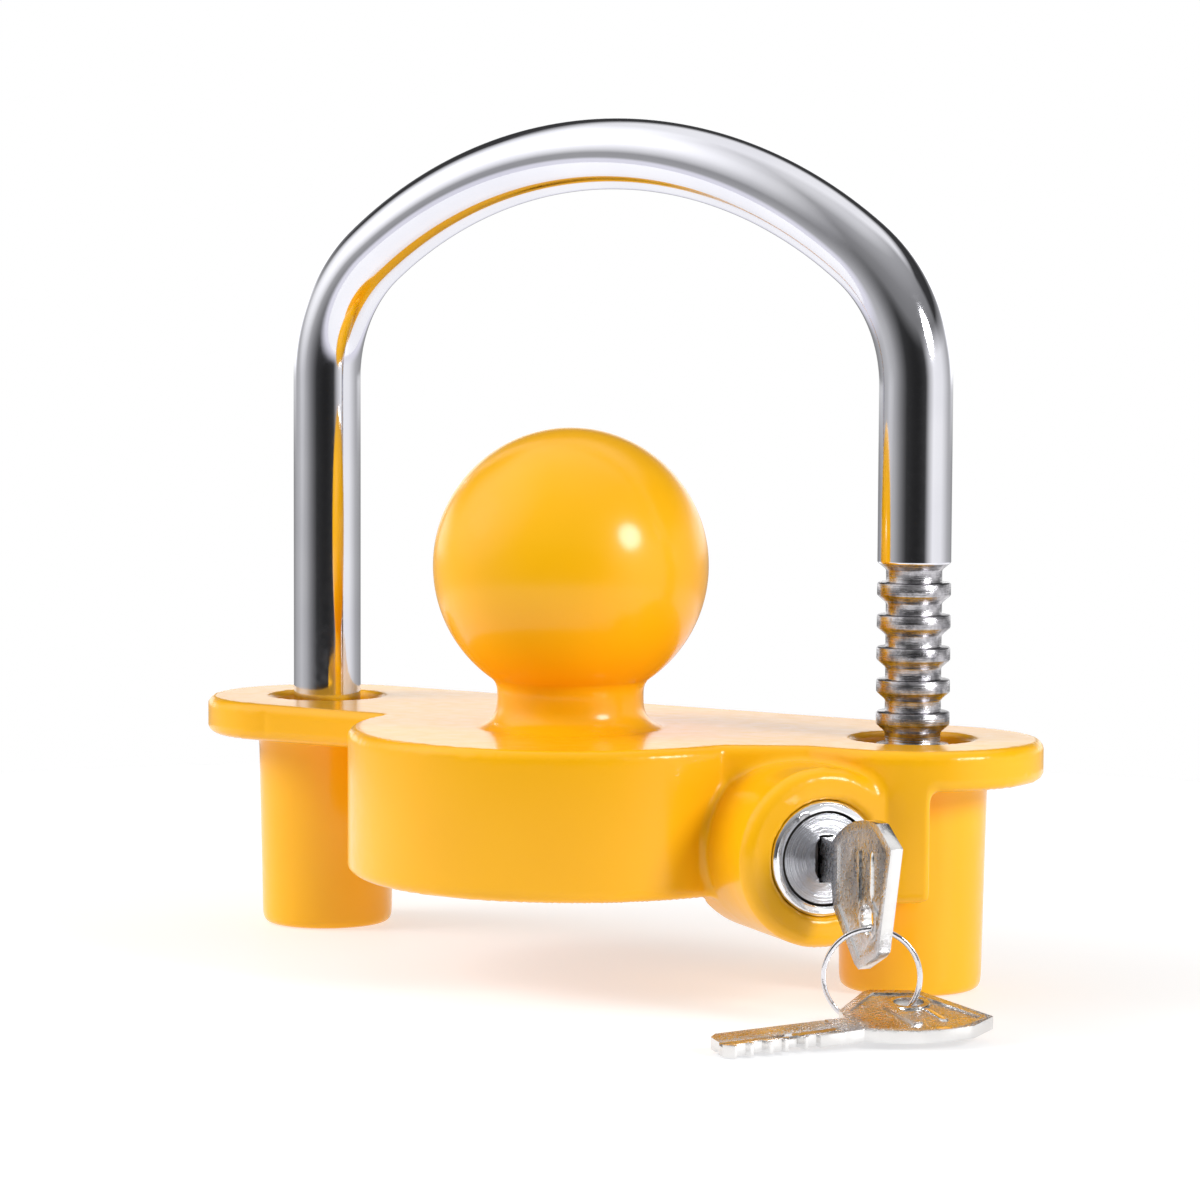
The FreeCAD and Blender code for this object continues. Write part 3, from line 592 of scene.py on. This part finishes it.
def key_frames():
    """Each key's place: its frame has u along the blade towards the bow, v up and w across."""
    out, face = lock_places()
    side = Vector((0, 0, 1)).cross(out).normalized()
    lock = Matrix((side, Vector((0, 0, 1)), out)).transposed().to_4x4()
    lock.translation = face
    turn = Matrix(((0, 0, -1), (0, 1, 0), (1, 0, 0))).to_4x4()
    return {"key": lock @ turn, "spare_key": lock @ spare_place()}


HOLE = Vector((16.5, -7.05, 0.0))       # the ring's hole in a key's own frame
HOLE_RADIUS = 2.35
RING = 7.4                 # to the wire's centre
WIRE = 0.5
RING_PLAY = 0.30
RING_TOP = HOLE.y - HOLE_RADIUS + WIRE + RING_PLAY


def spare_place():
    """The second key's place in the lock's frame. lean is the ring's turn about the upright,
    station the hole's place round the ring, swing and tilt the key's turns on the ring."""
    lean, station, swing, tilt = (math.radians(angle) for angle in (24.0, 50.0, 25.0, 6.2))
    level = Vector((math.cos(lean), 0, math.sin(lean)))
    normal = Vector((-math.sin(lean), 0, math.cos(lean)))
    centre = Vector((0, RING_TOP - RING, HOLE.x))
    hole = centre + level * RING * math.sin(station) - Vector((0, RING * math.cos(station), 0))
    out = level * math.cos(swing) - normal * math.sin(swing)
    side = level * math.sin(swing) + normal * math.cos(swing)
    lie = Matrix((out, side, Vector((0, -1, 0)))).transposed().to_4x4()
    return (Matrix.Translation(hole) @ Matrix.Rotation(tilt, 4, level)
            @ lie @ Matrix.Translation(-HOLE))


def bow_ribs(name, node, body):
    """A raised bead on each face of the bow, above the ring's hole, as pressed into such keys."""
    form = bmesh.new()
    low, high, half, rise = HOLE.y + 3.1, 3.6, 0.75, 0.36
    middle, panel_level = HOLE.x + 1.0, 0.62
    steps, sides = 16, 8
    for sign in (1, -1):
        rings = []
        for step in range(steps + 1):
            share = step / steps
            v = low + (high - low) * share
            taper = math.sqrt(max(0.0, 1 - (2 * share - 1) ** 6))
            ring = []
            for index in range(sides + 1):
                turn = math.pi * index / sides
                u = middle + half * taper * math.cos(turn)
                w = sign * (panel_level + rise * taper * math.sin(turn))
                ring.append(form.verts.new((u, v, w)))
            rings.append(ring)
        for one, other in zip(rings, rings[1:]):
            for index in range(sides):
                form.faces.new((one[index], one[index + 1], other[index + 1], other[index]))
            form.faces.new((one[0], other[0], other[sides], one[sides]))
        bmesh.ops.remove_doubles(form, verts=form.verts, dist=0.001)
    bmesh.ops.recalc_face_normals(form, faces=form.faces)
    mesh = finished(form, name)
    mesh.transform(Matrix.Scale(MM, 4) @ key_frames()[node])
    smooth(mesh, 60)
    mesh.materials.append(MATERIALS["key_nickel"])
    new_object(name, mesh, body, "key_nickel")


# ---- the lock's face: a broad bevel on the plug's rim leaves a groove inside the bezel, and painted shade darkens the groove, the keyway and the bezel's bore
BEZEL_BEVEL = 0.22
PLUG_BEVEL = 0.06
# where the painted shade goes, by radius from the lock's axis and depth behind its face
BORE = (7.85, 0.03)        # the bezel's bore: inside this radius, deeper than this
KEYWAY = (3.9, 0.35, 20)   # inside this radius, between these depths
PLUG_SIDE = (7.2, 0.22, 3)      # outside this radius, between these depths
PLUG_RIM = (7.4, 0.2, 0.05)     # outside this radius, at this depth, give or take


def radius_and_depth(point):
    """How far a point, in mm, lies from the lock's axis and behind its face."""
    out, face = lock_places()
    away = point - face
    depth = -away.dot(out)
    return (away + out * depth).length, depth


def shaded(thing, inside):
    """Gives the painted shade material, near-black steel, to the faces that lie where inside(radius, depth)
    says.
    """
    thing.data.materials.append(MATERIALS["painted_shade"])
    for polygon in thing.data.polygons:
        if inside(*radius_and_depth(polygon.center / MM)):
            polygon.material_index = 1


def bezel_bore(radius, depth):
    return radius < BORE[0] and depth > BORE[1]


def keyway_or_side(radius, depth):
    widest, front, back = KEYWAY
    least, top, foot = PLUG_SIDE
    return (radius < widest and front < depth < back) or (radius > least and top < depth < foot)


def plug_rim(point):
    least, level, play = PLUG_RIM
    radius, depth = radius_and_depth(point)
    return abs(depth - level) < play and radius > least


def lock_front():
    shaded(broken_edges("bezel_and_barrel", "lock_cylinder_housing", "body", "bezel_chrome", BEZEL_BEVEL),
           bezel_bore)
    shaded(broken_edges("plug_face", "lock_plug", "plug", "plug_nickel", PLUG_BEVEL, rim=plug_rim),
           keyway_or_side)


# ---- the split ring: two coils of flat-sided wire side by side
COILS = 1.92
COIL_STEPS = 150
COIL_START = -0.4
COIL_SHIFT = 0.22          # each coil's centre from the ring's middle plane
CROSSING = (0.86, 0.2)     # turns before the wire changes sides, and turns that it takes
WIRE_HALF = (0.40, 0.19)   # half of the wire's width across the ring and of its thickness
WIRE_SIDES = 12


def rounded(value):
    """A cosine or sine drawn towards the corners of a square."""
    return math.copysign(abs(value) ** 0.7, value)


def split_ring():
    """The ring's place and lie come from the CAD ring; two flat coils stand inside its wire."""
    low, high = box_mm("key_ring")
    data = frame["nodes"]["key_ring"].data
    centre = (low + high) / 2
    cloud = np.array([tuple(v.co) for v in data.vertices]) / MM - np.array(centre)
    normal = Vector(np.linalg.svd(cloud - cloud.mean(axis=0), full_matrices=False)[2][2]).normalized()
    level = normal.cross(Vector((0, 0, 1))).normalized()
    upward = level.cross(normal).normalized()
    outer = max(cloud @ np.array(level))
    form = bmesh.new()
    rings = []
    for number in range(COIL_STEPS + 1):
        turns = number / COIL_STEPS * COILS
        turn = 2 * math.pi * COILS * number / COIL_STEPS + COIL_START
        out = level * math.cos(turn) + upward * math.sin(turn)
        crossed = min(1.0, max(0.0, (turns - CROSSING[0]) / CROSSING[1]))
        spot = centre + out * (outer - WIRE) + normal * COIL_SHIFT * (2 * crossed - 1)
        ring = []
        for corner in range(WIRE_SIDES):
            angle = 2 * math.pi * corner / WIRE_SIDES
            across, thick = rounded(math.cos(angle)) * WIRE_HALF[0], rounded(math.sin(angle)) * WIRE_HALF[1]
            ring.append(form.verts.new((spot + out * across + normal * thick) * MM))
        rings.append(ring)
    for one, other in zip(rings, rings[1:]):
        for index in range(WIRE_SIDES):
            after = (index + 1) % WIRE_SIDES
            form.faces.new((one[index], one[after], other[after], other[index]))
    form.faces.new(rings[0])
    form.faces.new(list(reversed(rings[-1])))
    bmesh.ops.recalc_face_normals(form, faces=form.faces)
    mesh = finished(form, "split_ring")
    smooth(mesh, 50)
    mesh.materials.append(MATERIALS["ring_nickel"])
    new_object("split_ring", mesh, "ring", "ring_nickel", "key_ring")


painted_casting()
bright_shackle()
stamped_key("lock_key", "key", "key")
stamped_key("second_key", "spare_key", "spare")
bow_ribs("lock_key_beads", "key", "key")
bow_ribs("second_key_beads", "spare_key", "spare")
lock_front()
split_ring()


# ---- floor, light and camera
CAMERA_TURN = math.radians(33.13)
CAMERA_DIP = math.radians(4.35)
CAMERA_ROLL = math.radians(0.27)
CAMERA_DISTANCE = 640 * MM
CAMERA_TARGET = Vector((5.8, 0.0, -5.5)) * MM
LENS = 116.1
FLOOR_RADIUS = 0.30
FLOOR_GAP = 0.05 * MM
AHEAD = Vector((-math.sin(CAMERA_TURN), math.cos(CAMERA_TURN), 0))
ACROSS = Vector((math.cos(CAMERA_TURN), math.sin(CAMERA_TURN), 0))


def floor():
    """A pale disc just under the object's lowest point. It glows a little, to come out white."""
    form = bmesh.new()
    bmesh.ops.create_circle(form, cap_ends=True, segments=96, radius=FLOOR_RADIUS)
    mesh = finished(form, "floor")
    thing = bpy.data.objects.new("floor", mesh)
    thing.location.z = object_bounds()[0][2] - FLOOR_GAP
    bpy.context.scene.collection.objects.link(thing)
    shader = Shader("floor")
    shader.set(Roughness=0.6, Emission_Color=(1, 1, 1, 1), Emission_Strength=0.56)
    tint = shader.ramp(shader.noise(6.0), between((0.47, 0.47, 0.475), (0.50, 0.50, 0.505)))
    shader.join(tint, "Base Color")
    mesh.materials.append(shader.material)
    thing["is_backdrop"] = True


class Sky:
    """World nodes: a studio whose brightness depends on the direction in the room."""

    def __init__(self):
        world = bpy.data.worlds.new("studio")
        bpy.context.scene.world = world
        world.use_nodes = True
        self.nodes, self.links = world.node_tree.nodes, world.node_tree.links
        self.way = self.nodes.new("ShaderNodeTexCoord").outputs["Generated"]

    def dot(self, direction):
        node = self.nodes.new("ShaderNodeVectorMath")
        node.operation = "DOT_PRODUCT"
        node.inputs[1].default_value = direction
        self.links.new(self.way, node.inputs[0])
        return node.outputs["Value"]

    def ramp(self, value, stops):
        """Brightness against a direction's share, which runs from -1 to 1."""
        share = self.nodes.new("ShaderNodeMapRange")
        share.inputs["From Min"].default_value = -1.0
        self.links.new(value, share.inputs["Value"])
        node = self.nodes.new("ShaderNodeValToRGB")
        elements = node.color_ramp.elements
        while len(elements) < len(stops):
            elements.new(0.5)
        for element, (place, level) in zip(elements, stops):
            element.position = (place + 1) / 2
            element.color = (*level, 1.0) if isinstance(level, tuple) else (level, level, level, 1.0)
        self.links.new(share.outputs["Result"], node.inputs["Fac"])
        return node.outputs["Color"]

    def mix(self, share, one, other):
        node = self.nodes.new("ShaderNodeMix")
        node.data_type = "RGBA"
        self.links.new(share, node.inputs["Factor"])
        self.links.new(one, node.inputs["A"])
        self.links.new(other, node.inputs["B"])
        return node.outputs["Result"]

    def level(self, brightness):
        node = self.nodes.new("ShaderNodeRGB")
        node.outputs[0].default_value = (brightness, brightness, brightness, 1.0)
        return node.outputs[0]

    def shine(self, colour):
        self.links.new(colour, self.nodes["Background"].inputs["Color"])


def sky():
    """Dark behind the camera, bright panels to both sides and up to the left, and a lit ceiling.
    The camera itself sees plain white."""
    studio = Sky()
    ahead, height = studio.dot(AHEAD), studio.dot((0, 0, 1))

    right_side = studio.ramp(ahead, [(-1.0, 0.02), (-0.90, 0.05), (-0.78, 0.55), (-0.60, 1.0),
                                     (-0.10, 0.95), (0.45, 0.50), (1.0, 0.30)])
    left_side = studio.ramp(ahead, [(-1.0, 0.02), (-0.85, 0.04), (-0.60, 0.22), (-0.30, 0.45),
                                    (0.10, 0.60), (0.60, 0.45), (1.0, 0.25)])
    to_the_right = studio.ramp(studio.dot(ACROSS), [(-0.1, 0.0), (0.1, 1.0)])
    round_about = studio.mix(to_the_right, left_side, right_side)

    near_roof = studio.ramp(height, [(0.20, 0.16), (0.60, 0.26), (0.85, 0.42), (1.0, 0.80)])
    far_roof = studio.ramp(height, [(0.20, 0.03), (0.66, 0.05), (0.80, 0.95), (1.0, 1.0)])
    ceiling = studio.mix(studio.ramp(ahead, [(-0.05, 0.0), (0.15, 1.0)]), near_roof, far_roof)
    upper = studio.mix(studio.ramp(height, [(0.22, 0.0), (0.40, 1.0)]), round_about, ceiling)

    upper_left = (ACROSS * -0.80 + Vector((0, 0, 0.60))).normalized()
    panel = studio.ramp(studio.dot(upper_left), [(0.76, 0.0), (0.96, 1.0)])
    upper = studio.mix(panel, upper, studio.level(1.40))

    sweep = studio.ramp(height, [(-0.04, 0.0), (0.02, 1.0), (0.16, 1.0), (0.24, 0.0)])
    far = studio.ramp(ahead, [(0.55, 0.0), (0.75, 1.0)])
    upper = studio.mix(studio.mix(far, studio.level(0.0), sweep), upper, studio.level(1.45))

    lilac = (0.86, 0.85, 0.92)
    ground = studio.ramp(height, [(-1.0, lilac), (-0.2, lilac)])
    whole = studio.mix(studio.ramp(height, [(-0.26, 1.0), (-0.16, 0.0)]), upper, ground)
    seen = studio.nodes.new("ShaderNodeLightPath").outputs["Is Camera Ray"]
    studio.shine(studio.mix(seen, whole, studio.level(1.0)))
    bpy.context.scene.view_settings.view_transform = "Standard"


def lamp(name, across, up, near, distance, size, power, mirrored=True):
    """A round soft light; its direction is given across, above and towards the camera."""
    way = (ACROSS * across + Vector((0, 0, up)) - AHEAD * near).normalized()
    light = bpy.data.lights.new(name, "AREA")
    light.shape = "DISK"
    light.size = size
    light.energy = power
    thing = bpy.data.objects.new(name, light)
    thing.location = way * distance
    thing.rotation_euler = way.to_track_quat("Z", "Y").to_euler()
    thing.visible_glossy = mirrored
    bpy.context.scene.collection.objects.link(thing)


def camera():
    """Level but for a slight dip and roll, turned to the photograph's side of the object."""
    forward = Vector((-math.sin(CAMERA_TURN) * math.cos(CAMERA_DIP),
                      math.cos(CAMERA_TURN) * math.cos(CAMERA_DIP), -math.sin(CAMERA_DIP)))
    right = ACROSS
    up = right.cross(forward)
    right, up = (right * math.cos(CAMERA_ROLL) + up * math.sin(CAMERA_ROLL),
                 up * math.cos(CAMERA_ROLL) - right * math.sin(CAMERA_ROLL))
    data = bpy.data.cameras.new("camera")
    data.lens = LENS
    data.sensor_width = 36
    data.clip_start = 0.01
    thing = bpy.data.objects.new("camera", data)
    place = Matrix((right, up, -forward)).transposed().to_4x4()
    place.translation = CAMERA_TARGET - forward * CAMERA_DISTANCE
    thing.matrix_world = place
    bpy.context.scene.collection.objects.link(thing)
    bpy.context.scene.camera = thing


floor()
sky()
camera()
lamp("left_lamp", -0.88, 0.50, 0.02, 0.9, 0.42, 4.0, mirrored=False)
lamp("right_lamp", 0.74, 0.40, 0.54, 0.9, 0.30, 4.6)
